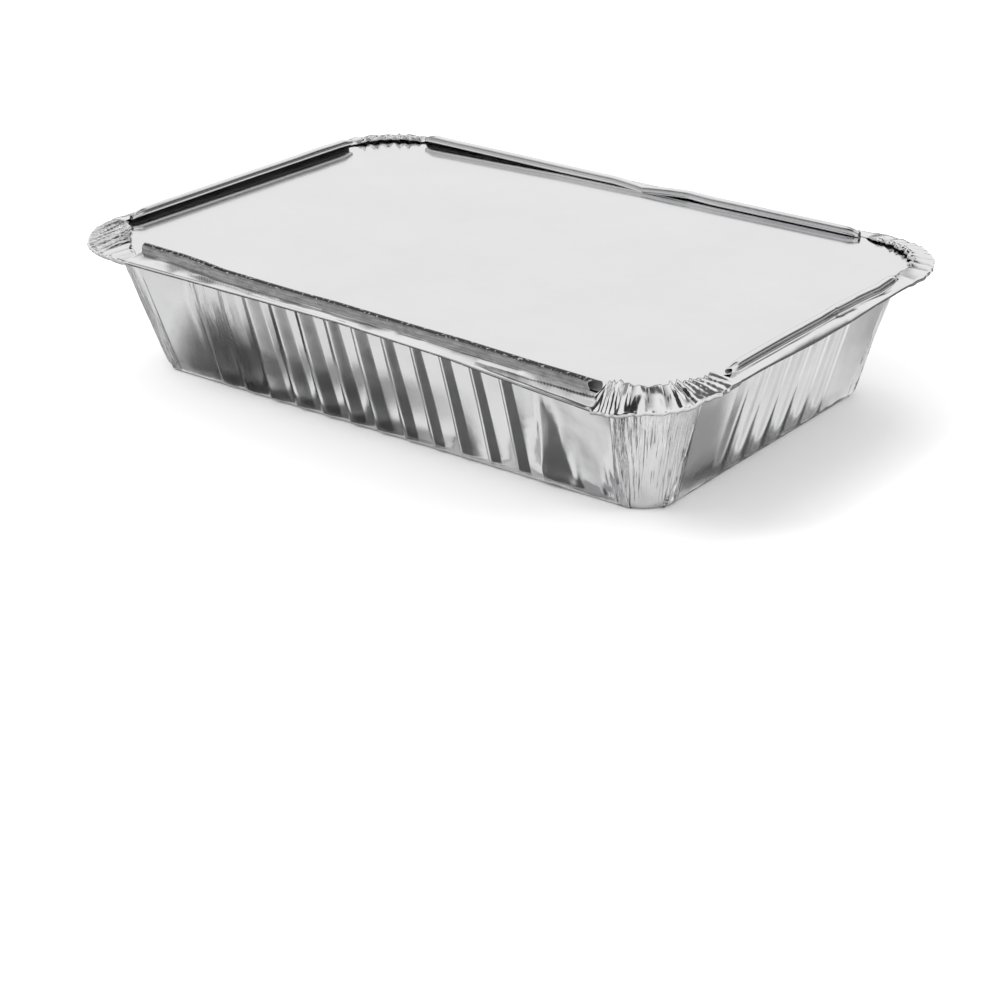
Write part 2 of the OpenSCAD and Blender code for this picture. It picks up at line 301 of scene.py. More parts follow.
# Pleats at each corner, from one bead's end to the next, as [distance round the outer edge, distance round
# the free edge, height at the free edge]: ridges and valleys by turns
PLEATS = (
    ((-0.5, -0.5, 0.0), (1.2, 1.0, 0.7), (2.0, 1.6, 0.1), (3.2, 2.6, 0.9), (4.0, 3.2, 0.15),
     (5.2, 4.2, 1.0), (5.9, 4.9, 0.2), (7.3, 6.3, 1.1), (8.2, 7.6, 0.15), (9.6, 9.6, 0.75),
     (10.8, 11.0, 0.1), (12.5, 12.6, 0.45), (15.0, 14.6, 0.35), (15.6, 15.3, 0.05), (18.0, 18.2, 0.4),
     (20.0, 20.1, 0.35), (20.4, 20.5, 0.0), (23.6, 22.5, 0.5), (24.6, 23.0, 1.3), (27.5, 24.6, 0.1),
     (29.0, 25.8, 1.2), (31.0, 27.5, 0.5), (31.8, 28.2, 0.9), (33.5, 30.0, 0.4), (34.3, 30.6, 1.0),
     (36.2, 32.5, 0.5), (37.0, 33.3, 1.0), (39.0, 35.6, 0.4), (39.8, 36.6, 1.0), (41.2, 38.8, 0.3),
     (42.2, 40.6, 0.8), (43.8, 43.5, 0.0)),
    ((-7.0, -7.0, 0.0), (-5.0, -5.0, 0.5), (-4.0, -4.4, 0.1), (-1.0, -1.0, 0.3), (4.0, 3.0, 0.5),
     (5.0, 4.5, 0.1), (9.0, 8.0, 0.7), (10.0, 9.5, 0.2), (14.0, 13.5, 0.8), (15.5, 15.0, 0.3),
     (19.0, 18.0, 1.3), (20.0, 19.5, 0.4), (22.0, 21.5, 1.5), (23.5, 23.0, 0.3), (26.0, 25.0, 1.6),
     (27.5, 27.3, 0.5), (30.0, 29.0, 1.2), (31.5, 31.0, 0.4), (34.0, 33.0, 1.1), (36.0, 35.5, 0.2),
     (40.0, 39.0, 0.9), (42.0, 41.5, 0.2), (45.8, 45.8, 0.0)),
    ((4.5, 4.5, 0.0), (7.0, 6.5, 0.5), (9.0, 8.6, 0.2), (12.0, 11.5, 1.7), (13.5, 13.2, 0.5),
     (16.0, 15.0, 1.9), (17.0, 16.8, 0.4), (20.0, 19.5, 1.4), (21.6, 21.4, 1.0), (23.0, 22.6, 0.3),
     (25.5, 25.0, 1.8), (27.0, 27.0, 1.2), (28.5, 28.6, 0.4), (31.5, 31.0, 1.5), (33.0, 33.2, 0.3),
     (35.8, 35.8, 0.0)),
    leaning_pleats(),
)
# How crumpled the free edge is at each corner, and how high the fine creases across the flap are there
CRUMPLE = (0.06, 0.6, 0.8, 0.12)
FINE_CREASES = (0.08, 0.3, 0.3, 0.06)
# How dark the painted shade in the pleats' valleys is at each corner, and up to what height, midway and at
# the free edge
VALLEY_SHADE = (0.8, 0.9, 0.95, 0.95)
VALLEY_MID = 0.42
VALLEY_TOP = (0.42, 0.9, 1.2, 0.42)
# How far the free edge is bent back down to the lid at each corner
EDGE_BENT = (0.0, 0.8, 0.8, 0.3)
# The left corner's outline is drawn in by this much along its first half
CORNER_TUCK = 0.7


def pleat_rise(places, t):
    """Height of the pleats at the share t of the way from the outer edge to the free edge."""
    rise = np.zeros(places.count)
    for corner, pleats in enumerate(PLEATS):
        outer, free, height = np.array(pleats).T
        s = places.from_corner(corner)
        at = outer + (free - outer) * t
        rise += np.interp(s, at, height, 0, 0) * t ** 0.4
        inside = within(free[0], free[0] + 2, free[-1] - 2, free[-1], s)
        rise += inside * CRUMPLE[corner] * (0.7 * ripple(s / 1.1, 3.1 * t, 11) + 0.5) * t ** 2
        fine = creases((s + 0.8 * ripple(t * 2, corner, 15)) / 1.7, 0.6 * t, 12) ** 2
        rise += inside * FINE_CREASES[corner] * fine * t ** 0.4
    return rise


def pleat_shade(places, t):
    """Painted shade in the pleats' valleys, up to a height that changes towards the free edge."""
    shade = np.zeros(places.count)
    for corner, pleats in enumerate(PLEATS):
        outer, free, height = np.array(pleats).T
        s = places.from_corner(corner)
        at = outer + (free - outer) * t
        inside = within(free[0] + 0.5, free[0] + 1.5, free[-1] - 1.5, free[-1] - 0.5, s)
        uneven = 0.75 + 0.25 * ripple(s / 1.3, 2.2 * t, 81 + corner)
        top = VALLEY_MID + (VALLEY_TOP[corner] - VALLEY_MID) * step_up(0.4, 0.9, t)
        valley = 1 - step_up(0.05, top, np.interp(s, at, height, 2, 2))
        shade += inside * uneven * VALLEY_SHADE[corner] * valley
    return shade * step_up(0.0, 0.2, t)


def bare_reach(places):
    """Inset of the pleated free edge: ridges reach further in than valleys."""
    reach = BARE_FLAP + WIDE_FLAP * within(-1, 12, 30, 42, places.from_corner(LEFT_CORNER))
    for corner, pleats in enumerate(PLEATS):
        free, height = np.array(pleats).T[1:]
        s = places.from_corner(corner)
        ragged = wave_sum(EDGE_WAVES, s, corner) + 0.5 * np.interp(s, free, height)
        reach += np.where((s >= free[0]) & (s <= free[-1]), ragged, 0)
    return reach


def flute_relief(places, z):
    """How far the fluted walls stand out at height z."""
    kind = places.side % 2
    pitch = np.take(FLUTE_PITCH, kind)
    count = np.take(FLUTE_COUNT, kind)
    order = places.at / pitch + (count - 1) / 2
    nearest = np.clip(np.round(order), 0, count - 1)
    off = (order - nearest) * pitch
    depth, stretch, top, foot = (
        span[0] + span[1] * lattice(nearest, places.side, seed)
        for span, seed in ((FLUTE_DEPTH, 5), (FLUTE_STRETCH, 6), (FLUTE_TOP, 9), (FLUTE_FOOT, 7)))
    size = np.where(kind == 1, SOFT_SHARE, flute_size(nearest))
    faint = (places.side == NEAR_LONG) & (nearest < FAINT_FLUTES)
    spiked = (places.side == NEAR_LONG) & (nearest == count - 1)
    depth = depth * size * np.where(faint, FAINT_SHARE, np.where(spiked, 0, 1))
    width = (stretch + FLUTE_SPREAD * (20 - z) / TRAY_H) * flute_size(nearest)
    soft = 0.5 + 0.5 * np.cos(math.pi * np.clip(off / SOFT_HALF_W, -1, 1))
    shape = np.where(kind == 1, soft, np.interp(off / width, FLUTE_PLACES, FLUTE_OUT, 0, 0))
    along_z = within(foot - 0.6, foot + 1.0, TRAY_H - top - 1.6, TRAY_H - top, z)
    return np.where(places.corner, 0, depth * shape * along_z)


def spike_relief(places, z):
    """The crumple: a ridge that leans over and widens to the foot, with small rucks beside it."""
    across = places.from_middle(NEAR_LONG) - (SPIKE_AT + SPIKE_LEAN * z)
    width = SPIKE_W * (1 - z / SPIKE_TOP)
    if width <= 0.5:
        return np.zeros(places.count)
    height = SPIKE_SHARE * width * (1 - 0.5 * step_up(3, 0, z))
    rise = np.interp(across, (-1.6, 0, 0.45 * width, width), (0, 1, 0.62, 0))
    ruck = 0.16 * ripple(across / 2.1, z / 7, 57) * within(-1, 1, width, width + 4, across)
    return height * rise + ruck * step_up(27, 18, z)


def left_rucks(places, z):
    """Narrow upright rucks among the near long wall's first flutes."""
    m = places.from_middle(NEAR_LONG)
    across = m + 0.06 * z + 0.5 * ripple(z / 9, 0, 58)
    return 0.3 * within(-65, -61, -47, -41, m) * within(1, 5, 29, 36, z) * creases(across / 3.8, z / 26, 59)


def corner_relief(places, z):
    """Upright creases in the corner walls. They spread past the corner's arc towards the foot."""
    d = places.distance
    spread = 1 - z / TRAY_H
    reach = within(4 - 15 * spread, 8 - 14 * spread, 30 + 8 * spread, 34 + 9 * spread, places.from_nearest)
    sway = 1.6 * ripple(z / 11, d / 7, 21) + 0.6 * ripple(z / 4, d / 3, 22)
    narrow = creases((d + sway) / 1.25, z / 17, 23) ** 2
    wide = creases((d + 1.4 * sway) / 2.9, z / 25, 24) ** 2
    broad = ripple((d + 1.6 * sway) / 3.6, z / 34, 25)
    nick = ripple(d / 1.6, z / 4, 27) + 0.8 * creases(d / 2.3, z / 3.1, 28)
    nick = nick * (1 - 0.85 * step_up(4, 17, z))
    height = step_up(0.3, 3, z) * (0.65 + 0.35 * step_up(TRAY_H - 2, TRAY_H - 8, z))
    strength = np.take(CORNER_CREASES, places.nearest_corner)
    return reach * strength * height * (0.26 * (narrow + 0.8 * wide) + 0.12 * broad + 0.2 * nick)


def creased_wall(places, z):
    """Where the finest creases are, which the shader bumps and darkens with painted shade: at the corners,
    more widely near the foot, and in the first flutes.
    """
    spread = 10 * (1 - z / TRAY_H)
    first_flutes = 0.6 * within(-66, -61, -50, -44, places.from_middle(NEAR_LONG))
    return first_flutes + within(2 - spread, 7 - spread, 33 + spread, 38 + spread, places.from_nearest)


def wall_waves(places, z):
    """Slight waves that the walls take from handling, which bend the reflections."""
    d = places.distance
    height = wave_sum(WALL_WAVES, d, z) + wave_sum(FOOT_WAVES, d, z) * (1 - step_up(2, 6, z))
    return height * within(0, 1.5, TRAY_H - 3, TRAY_H, z)


# Sag of the right short side's edge: distances from its middle, and how far it hangs there
RIM_SAG = ((-49, -30, -10, 8, 20, 32), (0.0, 0.5, 1.1, 1.0, 0.3, 0.0))

# Dents in the rim, as [side, place along it, reach, push inwards, push down]
RIM_DENTS = (
    (RIGHT_SHORT, 9.0, 9.0, 0.9, 0.5),
    (RIGHT_SHORT, 30.0, 12.0, -0.5, 0.2),
    (FAR_LONG, -2.0, 12.0, 1.2, 0.6),
    (FAR_LONG, -18.0, 10.0, -0.6, -0.2),
)


def dent(places):
    """Inward and downward push on the flap and bead."""
    push, drop = np.zeros(places.count), np.zeros(places.count)
    for side, at, reach, inwards, down in RIM_DENTS:
        near = np.where((places.side == side) & ~places.corner, np.abs(places.at - at) / reach, 1)
        bump = (1 - np.clip(near, 0, 1)) ** 1.5
        push += inwards * bump
        drop += down * bump
    return push, drop


def pinched(places):
    """The bead's share of its size."""
    share = np.ones(places.count)
    for side, (first, last) in enumerate(BEAD_SPAN):
        m = places.from_middle(side)
        for from_end in (m - first, last - m):
            pinch = PINCH_SHARE + (1 - PINCH_SHARE) * step_up(0, PINCH_LEN, from_end)
            share = np.where((side != NEAR_LONG) & (np.abs(from_end) < PINCH_LEN), pinch, share)
    return share


class Sheet:
    """Rows of points up the sheet, from the base to the bead's free edge."""

    def __init__(self):
        self.places = Round()
        self.bare = ~self.places.bead
        self.rows = []
        self.crimp, self.strokes, self.creased = [], [], []
        self.push, self.drop = dent(self.places)
        p = self.places
        self.bead_r = np.take(BEAD_R, p.nearest_side) * pinched(p)
        self.tuck = CORNER_TUCK * within(-2, 7, 17, 27, p.from_corner(LEFT_CORNER))
        held_reach = FLAP_W + self.push + p.shift + self.bead_r * (BEAD_ROOT[0][0] - 0.12)
        self.reach = p.held * held_reach + (1 - p.held) * bare_reach(p)
        self.foot_rows()
        self.wall_rows()
        self.flange_rows()
        self.fold_rows()
        self.flap_start = len(self.rows)
        self.flap_rows()
        self.bead_start = len(self.rows) - 1
        self.bead_rows()

    def add(self, xy, z, crimp=0.0, strokes=0.0, creased=0.0):
        z = np.broadcast_to(z, self.places.count)
        self.rows.append(np.column_stack([xy, z]))
        for marks, mark in ((self.crimp, crimp), (self.strokes, strokes), (self.creased, creased)):
            marks.append(np.broadcast_to(mark, self.places.count))

    def foot_rows(self):
        for k in range(4):
            a = math.radians(80 * k / 3)
            inset = FOOT_R * (1 - math.sin(a))
            xy = self.places.ring(BASE_L / 2 - inset, BASE_W / 2 - inset, BASE_R - inset)
            self.add(xy, FOIL_T / 2 + FOOT_R * (1 - math.cos(a)) * 0.8)

    def wall_rows(self):
        p = self.places
        for t in np.r_[np.linspace(0.04, 0.16, 5), np.linspace(0.21, 0.86, 10), np.linspace(0.9, 0.985, 4)]:
            z = TRAY_H * t
            half_l = BASE_L / 2 + (RIM_L / 2 - FLANGE_W - BASE_L / 2) * t
            half_w = BASE_W / 2 + (RIM_W / 2 - FLANGE_W - BASE_W / 2) * t
            radius = BASE_R + (RIM_R - FLANGE_W - BASE_R) * t
            reliefs = (flute_relief, corner_relief, wall_waves, spike_relief, left_rucks)
            out = p.out * sum(relief(p, z) for relief in reliefs)[:, None]
            self.add(p.ring(half_l, half_w, radius) + out, z, creased=creased_wall(p, z))

    def flange_rows(self):
        p = self.places
        root = ((FLANGE_W + 0.05, ROOT_R * 0.45), (FLANGE_W - 0.4, 0.1))
        for inset, lower in root + ((DROP_INSET, 0.0), (4.6, 0.0), (2.4, 0.0)):
            wave = 0.1 * ripple(p.distance / 9, inset / 6, 41) * step_up(FLANGE_W, 5, inset)
            drawn_in = self.tuck * step_up(FLANGE_W, 2, inset)
            self.add(p.rim_ring(inset + drawn_in), TRAY_H - lower - droop(p.distance, inset) - np.abs(wave))

    def fold_rows(self):
        p = self.places
        half = FOLD_H / 2
        near = 1 + (self.bare & (p.nearest_corner == NEAR_CORNER))
        scallop = self.bare * near * (wave_sum(FOLD_SCALLOPS, p.distance, 0) - 0.2)
        edge = wave_sum(FOLD_WAVES, p.distance, 0)
        sag = np.interp(p.from_middle(RIGHT_SHORT), *RIM_SAG) * (p.side == RIGHT_SHORT) * ~p.corner
        for a in np.radians([-80, -40, 0, 40, 80]):
            inset = half * (1 - np.cos(a)) + scallop * (1 - abs(np.sin(a)) * 0.5)
            z = TRAY_H + half * (1 + np.sin(a)) - droop(p.distance, half)
            waved = 0.14 * near * ripple(p.distance / 1.5, 0, 55)
            pucker = self.bare * (waved - 0.25 * math.cos(a) * (1 - np.sin(a)))
            tip = pleat_rise(p, 0.05) * (1 + np.sin(a)) / 2
            # Painted shade along the fold's lower half, weaker where the flap is bare
            fold_shade = 0.97 * float(a < 0.1) * (1 - 0.6 * self.bare)
            self.add(p.rim_ring(inset + self.tuck), z + edge + pucker + tip - sag, fold_shade)

    def flap_rows(self):
        p = self.places
        half = FOLD_H / 2
        near = (p.side == NEAR_LONG) & p.bead
        bare = 1 - p.held
        stroked = within(-3, 1, 35.5, 37.5, p.from_corner(LEFT_CORNER)) * bare
        for t in (0.15, 0.35, 0.55, 0.75, 0.88, 0.95, 1.0):
            inset = half + (self.reach - half) * t + self.tuck * (1 - t)
            fold_z = FOLD_Z - droop(p.distance, half)
            end_z = FOLD_Z + FLAP_RISE + (p.lift - self.drop) * p.held
            bulge = 0.5 * math.sin(math.pi * t) * step_up(0.5, 3, FOLD_Z - fold_z)
            wave = 0.16 * ripple(p.distance / 7.5, t * 1.7, 47) * math.sin(math.pi * t) * p.bead
            streak = 0.05 * ripple(p.distance / 2.4 + 1.6 * t, t * 1.3, 49) * near * step_up(0.3, 0.8, t)
            z = fold_z + (end_z - fold_z) * t + bulge + np.maximum(wave, -0.05) + streak
            # Painted shade on the near long side's flap, with a ragged edge, deepening towards the bead
            ragged = 0.42 * ripple(p.distance / 7, 0, 63) + 0.25 * ripple(p.distance / 2.1, t, 64)
            painted_shade = 0.7 * step_up(0.35, 1.0, t + ragged)
            bent = 1 - np.take(EDGE_BENT, p.nearest_corner) * step_up(0.86, 1.0, t)
            self.add(p.rim_ring(inset), z + pleat_rise(p, t) * bent * bare,
                     near * painted_shade + pleat_shade(p, t) * bare, stroked * step_up(0.0, 0.3, t))

    def bead_rows(self):
        p = self.places
        crimped = np.where(p.side == NEAR_LONG, 1.0, 0.0)
        turns = np.radians(np.arange(0, BEAD_TURN + 1, BEAD_STEP))
        flat = 1 + 0.05 * ripple(p.distance / 11, 0, 51)
        far = (p.side == FAR_LONG) | (p.side == LEFT_SHORT)
        # The two near beads are cut aslant where they end at the near corner
        near_end = -2.8 * step_up(76, 80.5, p.from_middle(NEAR_LONG)) * (p.side == NEAR_LONG)
        right_end = 1.6 * step_up(-42, -46, p.from_middle(RIGHT_SHORT)) * (p.side == RIGHT_SHORT)
        aslant = np.stack([-p.out[:, 1], p.out[:, 0]], -1) * (near_end + right_end)[:, None]
        section = list(BEAD_ROOT) + [(-math.cos(a), 1 + math.sin(a)) for a in turns]
        for row, (inwards, up) in enumerate(section):
            inset = FLAP_W + self.push + p.shift + self.bead_r * inwards
            z = FOLD_Z + FLAP_RISE + p.lift - self.drop + self.bead_r * up * flat
            # Painted shade on the near long bead: patchy, and darkest along its top
            top = float(step_up(1.5, 1.8, up))
            patchy = 0.66 + 0.12 * ripple(p.distance / 2.1, up * 2, 66)
            facing = max(0.0, 0.94 * -inwards + 0.34 * (up - 1))
            # Painted reflection: a dark streak along the far beads, at one step of their turn
            painted_streak = far * (STREAK_SHADE if row == len(BEAD_ROOT) + STREAK_STEP else 0.0)
            self.add(p.rim_ring(inset) + aslant * facing, z,
                     crimped * (patchy + (1 - patchy) * top) + painted_streak)

    def mesh_data(self):
        """Points and faces of the closed sheet: an inner and an outer face, and the cut edge between."""
        middle = np.array(self.rows)
        normal = sheet_normals(middle)
        n_rows, n = middle.shape[:2]
        inner = (middle + normal * FOIL_T / 2).reshape(-1, 3)
        outer = (middle - normal * FOIL_T / 2).reshape(-1, 3)
        points = np.vstack([inner, [[0, 0, FOIL_T]], outer, [[0, 0, 0]]])
        centre = n_rows * n
        offset = centre + 1
        cells = np.ones((n_rows - 1, n), bool)
        cells[self.bead_start:] = self.places.bead & np.roll(self.places.bead, -1)
        faces = []
        for row, i in zip(*np.nonzero(cells)):
            j = (i + 1) % n
            a, b, c, d = row * n + i, row * n + j, (row + 1) * n + j, (row + 1) * n + i
            faces.append((a, b, c, d))
            faces.append((a + offset, d + offset, c + offset, b + offset))
            if row == n_rows - 2 or not cells[row + 1, i]:
                faces.append((d, c, c + offset, d + offset))
            if not cells[row, j]:
                faces.append((b, b + offset, c + offset, c))
            if not cells[row, i - 1]:
                faces.append((a, d, d + offset, a + offset))
        for i in range(n):
            j = (i + 1) % n
            faces.append((centre, j, i))
            faces.append((centre + offset, i + offset, j + offset))
        return points, faces

    def mark_data(self):
        """The marks of every point. The hollow shade mark is painted shade on the flap's underside and the
        bead's inside only.
        """
        hollow_shade = np.zeros((len(self.rows), self.places.count))
        hollow_shade[self.flap_start + 1:] = 1
        marks = {"hollow_shade": np.r_[hollow_shade.ravel(), 0, hollow_shade.ravel() * 0, 0]}
        round_rim = [self.places.distance * MM] * len(self.rows)
        for name, rows in (("crimp", self.crimp), ("strokes", self.strokes), ("creased", self.creased),
                           ("round_rim", round_rim)):
            values = np.array(rows).ravel()
            marks[name] = np.r_[values, 0, values, 0]
        return marks


def sheet_normals(rows):
    """Unit normals of the sheet's rows, towards the food and over the lid."""
    up = np.gradient(rows, axis=0)
    around = np.roll(rows, -1, axis=1) - np.roll(rows, 1, axis=1)
    normal = np.cross(up, around)
    length = np.linalg.norm(normal, axis=2, keepdims=True)
    return normal / np.maximum(length, 1e-9)


def piece_from(name, points, faces, materials, node):
    """A smooth mesh piece in metres that rides with the body and stands for a node."""
    mesh = bpy.data.meshes.new(name)
    mesh.from_pydata((np.asarray(points) * MM).tolist(), [], [tuple(int(i) for i in f) for f in faces])
    mesh.validate()
    mesh.shade_smooth()
    for material in materials:
        mesh.materials.append(material)
    piece = bpy.data.objects.new(name, mesh)
    bpy.context.scene.collection.objects.link(piece)
    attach(piece, "root")
    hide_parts(node)
    return piece


def drop_loose_points(piece):
    """Removes points that no face uses."""
    mesh = bmesh.new()
    mesh.from_mesh(piece.data)
    loose = [v for v in mesh.verts if not v.link_faces]
    bmesh.ops.delete(mesh, geom=loose, context="VERTS")
    bmesh.ops.recalc_face_normals(mesh, faces=mesh.faces)
    mesh.to_mesh(piece.data)
    mesh.free()


# Shader node helpers
def link(tree, a, b):
    tree.links.new(a, b)


def new_group(name, inputs, outputs):
    """An empty shader node group with named inputs and outputs."""
    group = bpy.data.node_groups.new(name, "ShaderNodeTree")
    for label, default in inputs:
        socket = group.interface.new_socket(name=label, in_out="INPUT", socket_type="NodeSocketFloat")
        socket.default_value = default
    for label in outputs:
        group.interface.new_socket(name=label, in_out="OUTPUT", socket_type="NodeSocketFloat")
    start = group.nodes.new("NodeGroupInput")
    end = group.nodes.new("NodeGroupOutput")
    return group, start, end


def math_node(tree, operation, a, b=None):
    node = tree.nodes.new("ShaderNodeMath")
    node.operation = operation
    for socket, value in zip(node.inputs, (a, b)):
        if value is None:
            continue
        if isinstance(value, (int, float)):
            socket.default_value = value
        else:
            link(tree, value, socket)
    return node.outputs[0]


def times(tree, a, b):
    return math_node(tree, "MULTIPLY", a, b)


def noise_node(tree, place, scale, detail=3.0, rough=0.55, stretch=None):
    if stretch:
        mapping = tree.nodes.new("ShaderNodeMapping")
        mapping.inputs["Scale"].default_value = stretch
        link(tree, place, mapping.inputs["Vector"])
        place = mapping.outputs["Vector"]
    node = tree.nodes.new("ShaderNodeTexNoise")
    node.inputs["Scale"].default_value = scale
    node.inputs["Detail"].default_value = detail
    node.inputs["Roughness"].default_value = rough
    link(tree, place, node.inputs["Vector"])
    return node.outputs["Fac"]


def rolled_foil_group():
    """Height and dullness of rolled foil: handling waves, fine crinkle, and the rolling mill's lines."""
    group, start, end = new_group(
        "rolled_foil", (("Waves", 1.0), ("Crinkle", 1.0), ("Lines", 1.0)), ("Height", "Dullness"))
    place = group.nodes.new("ShaderNodeTexCoord").outputs["Object"]
    waves = noise_node(group, place, 45.0, 2.0)
    crinkle = noise_node(group, place, 420.0, 4.0, 0.6)
    lines = noise_node(group, place, 900.0, 2.0, 0.5, (0.02, 1.0, 1.0))
    parts = [times(group, value, start.outputs[label])
             for value, label in ((waves, "Waves"), (crinkle, "Crinkle"), (lines, "Lines"))]
    height = math_node(group, "ADD", math_node(group, "ADD", parts[0], parts[1]), parts[2])
    link(group, height, end.inputs["Height"])
    smears = noise_node(group, place, 28.0, 4.0, 0.65)
    grain = times(group, lines, 0.1)
    link(group, math_node(group, "ADD", smears, grain), end.inputs["Dullness"])
    return group


def mapped(tree, value, low, high, to_low, to_high):
    node = tree.nodes.new("ShaderNodeMapRange")
    for socket, number in zip(list(node.inputs)[1:5], (low, high, to_low, to_high)):
        socket.default_value = number
    link(tree, value, node.inputs[0])
    return node.outputs[0]


def shade_mix(tree, factor, dark, light):
    node = tree.nodes.new("ShaderNodeMix")
    node.data_type = "RGBA"
    link(tree, factor, node.inputs["Factor"])
    node.inputs["A"].default_value = (*dark, 1)
    node.inputs["B"].default_value = (*light, 1)
    return node.outputs["Result"]


def dark_mix(tree, factor, colour, shade):
    """Colour turned towards an even dark shade by the factor."""
    node = tree.nodes.new("ShaderNodeMix")
    node.data_type = "RGBA"
    link(tree, factor, node.inputs["Factor"])
    link(tree, colour, node.inputs["A"])
    node.inputs["B"].default_value = (shade, shade, shade, 1)
    return node.outputs["Result"]


def metal_material(name, foil_group, waves, crinkle, lines, bump_mm, dark, light, rough):
    """A foil finish: bright metal whose dullness, colour and bump vary over the surface."""
    material = bpy.data.materials.new(name)
    material.use_nodes = True
    tree = material.node_tree
    shader = tree.nodes["Principled BSDF"]
    shader.inputs["Metallic"].default_value = 1.0
    effect = tree.nodes.new("ShaderNodeGroup")
    effect.node_tree = foil_group
    for label, value in (("Waves", waves), ("Crinkle", crinkle), ("Lines", lines)):
        effect.inputs[label].default_value = value
    link(tree, mapped(tree, effect.outputs["Dullness"], 0.35, 0.75, *rough), shader.inputs["Roughness"])
    link(tree, shade_mix(tree, mapped(tree, effect.outputs["Dullness"], 0.35, 0.75, 0.0, 1.0), dark, light),
         shader.inputs["Base Color"])
    bump = tree.nodes.new("ShaderNodeBump")
    bump.inputs["Distance"].default_value = bump_mm * MM
    link(tree, effect.outputs["Height"], bump.inputs["Height"])
    link(tree, bump.outputs["Normal"], shader.inputs["Normal"])
    return material, effect, bump


# Distance between the fine ridges across the bead
CRIMP_PITCH = 1.0


def mark_value(tree, name):
    """A mark that the mesh carries, as a node's value."""
    node = tree.nodes.new("ShaderNodeAttribute")
    node.attribute_name = name
    return node.outputs["Fac"]


def bead_wear(tree, place, split, crimp):
    """Fine ridges across the bead, and painted shade in smears along it, darkest along its top, with
    painted highlights as bright dots there.
    """
    run = math_node(tree, "ADD", split.outputs["X"], split.outputs["Y"])
    wave = math_node(tree, "SINE", times(tree, run, 2 * math.pi / (CRIMP_PITCH * MM)))
    ridges = times(tree, times(tree, wave, crimp), 0.02)
    smear = mapped(tree, noise_node(tree, place, 1500.0, 3.0, 0.6, (0.3, 1.0, 1.0)), 0.3, 0.7, 0.75, 1.0)
    top = mapped(tree, crimp, 0.86, 0.96, 0.0, 1.0)
    # Painted highlights: bright dots along the top, where the painted shade is left out
    dot = mapped(tree, noise_node(tree, place, 1100.0, 1.0, 0.5), 0.6, 0.65, 0.0, 0.5)
    bright = math_node(tree, "SUBTRACT", 1.0, times(tree, dot, top))
    painted_shade = times(tree, times(tree, math_node(tree, "MAXIMUM", smear, top), crimp), bright)
    return ridges, painted_shade


def corner_folds(tree, place, strokes):
    """Narrow folds along the short side's direction, with painted shade in them."""
    fold = noise_node(tree, place, 800.0, 1.0, 0.5, (1.0, 0.06, 0.06))
    dark = times(tree, mapped(tree, fold, 0.51, 0.58, 0.0, 0.9), strokes)
    return times(tree, times(tree, fold, strokes), 0.5), dark


def upright_creases(tree, split, creased):
    """Fine upright creases round the corners' walls, with painted shade along them."""
    place = tree.nodes.new("ShaderNodeCombineXYZ")
    link(tree, mark_value(tree, "round_rim"), place.inputs["X"])
    link(tree, split.outputs["Z"], place.inputs["Y"])
    upright = noise_node(tree, place.outputs[0], 900.0, 3.0, 0.6, (1.0, 0.08, 1.0))
    dark = times(tree, mapped(tree, upright, 0.57, 0.64, 0.0, 0.75), creased)
    return times(tree, times(tree, upright, creased), 0.8), dark


def tray_foil(foil_group):
    """Bright foil. Marks on the mesh say where it is crimped, stroked with folds, creased, or hollow;
    painted shade goes into its colour where these marks say, with painted highlights as bright dots along
    the near bead's top.
    """
    material, effect, bump = metal_material(
        "tray_foil", foil_group, 0.7, 0.03, 0.006, 0.35,
        (0.76, 0.76, 0.77), (0.87, 0.87, 0.875), (0.07, 0.14))
    tree = material.node_tree
    place = tree.nodes.new("ShaderNodeTexCoord").outputs["Object"]
    split = tree.nodes.new("ShaderNodeSeparateXYZ")
    link(tree, place, split.inputs[0])
    ridges, painted_shade = bead_wear(tree, place, split, mark_value(tree, "crimp"))
    folds, fold_painted_shade = corner_folds(tree, place, mark_value(tree, "strokes"))
    rises, crease_painted_shade = upright_creases(tree, split, mark_value(tree, "creased"))
    height = effect.outputs["Height"]
    for part in (ridges, folds, rises):
        height = math_node(tree, "ADD", height, part)
    link(tree, height, bump.inputs["Height"])
    shader = tree.nodes["Principled BSDF"]
    plain, rough = (shader.inputs[label].links[0].from_socket for label in ("Base Color", "Roughness"))
    # Painted shade: the folds, creases and crimp marks turn the colour towards dark grey
    dark = math_node(tree, "MAXIMUM", math_node(tree, "MAXIMUM", fold_painted_shade, crease_painted_shade), painted_shade)
    # Painted shade: the underside of the flap and the inside of the bead turn dark grey and barely metallic
    hollow_shade = mark_value(tree, "hollow_shade")
    link(tree, dark_mix(tree, hollow_shade, dark_mix(tree, dark, plain, 0.05), 0.2), shader.inputs["Base Color"])
    link(tree, mapped(tree, hollow_shade, 0.0, 1.0, 1.0, 0.1), shader.inputs["Metallic"])
    link(tree, math_node(tree, "MAXIMUM", rough, times(tree, hollow_shade, 0.5)), shader.inputs["Roughness"])
    return material


def lid_foil(foil_group):
    """Satin foil face of the lid board."""
    material, _, _ = metal_material(
        "lid_foil", foil_group, 0.2, 0.004, 0.004, 0.08,
        (0.775, 0.775, 0.78), (0.81, 0.81, 0.815), (0.1, 0.14))
    return material


